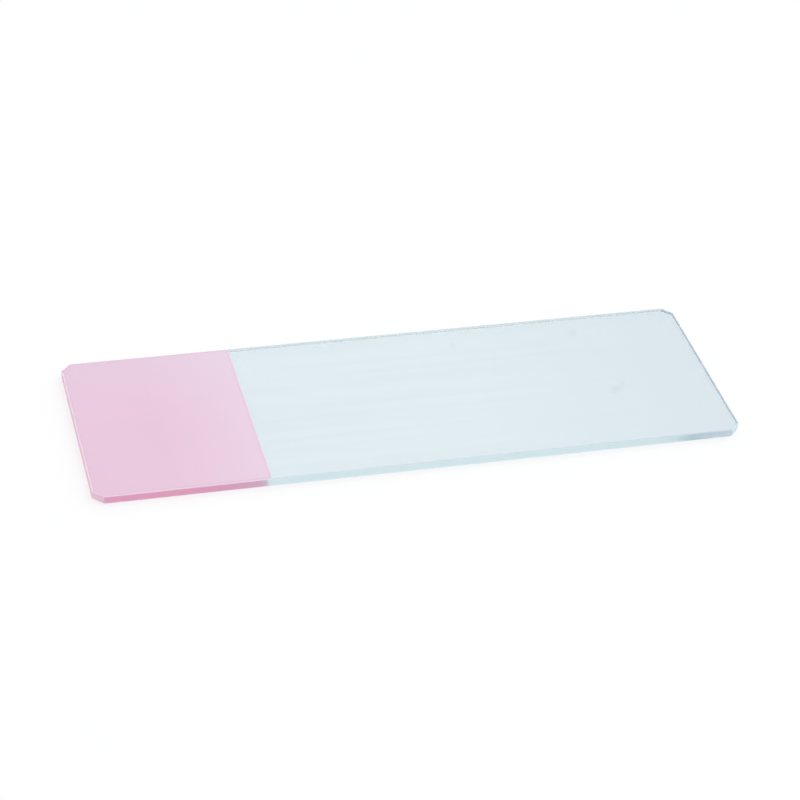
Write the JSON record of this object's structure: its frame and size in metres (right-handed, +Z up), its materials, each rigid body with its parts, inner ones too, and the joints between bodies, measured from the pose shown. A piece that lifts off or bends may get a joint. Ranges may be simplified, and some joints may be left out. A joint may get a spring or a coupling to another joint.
{
  "type": "microscope slide",
  "caption": "Flat clear glass microscope slide with ground corners and a pink writing coat at one end; carries a specimen.",
  "frame": {"origin": "centre of the underside, the face that lies on a stage or table", "axes": "+X along the length, away from the coated end; +Y across the width; +Z up, out of the coated face"},
  "size_m": [0.0762, 0.0254, 0.001],
  "materials": {
    "clear_glass": "clear soda-lime float glass with a faint aqua cast, cut and ground edges",
    "pink_coat": "satin pink screen-printed enamel with a very fine grain, for pencil and marker"
  },
  "bodies": {
    "root": {"glass_plate": "clear_glass", "writing_coat": "pink_coat"}
  },
  "joints": []
}
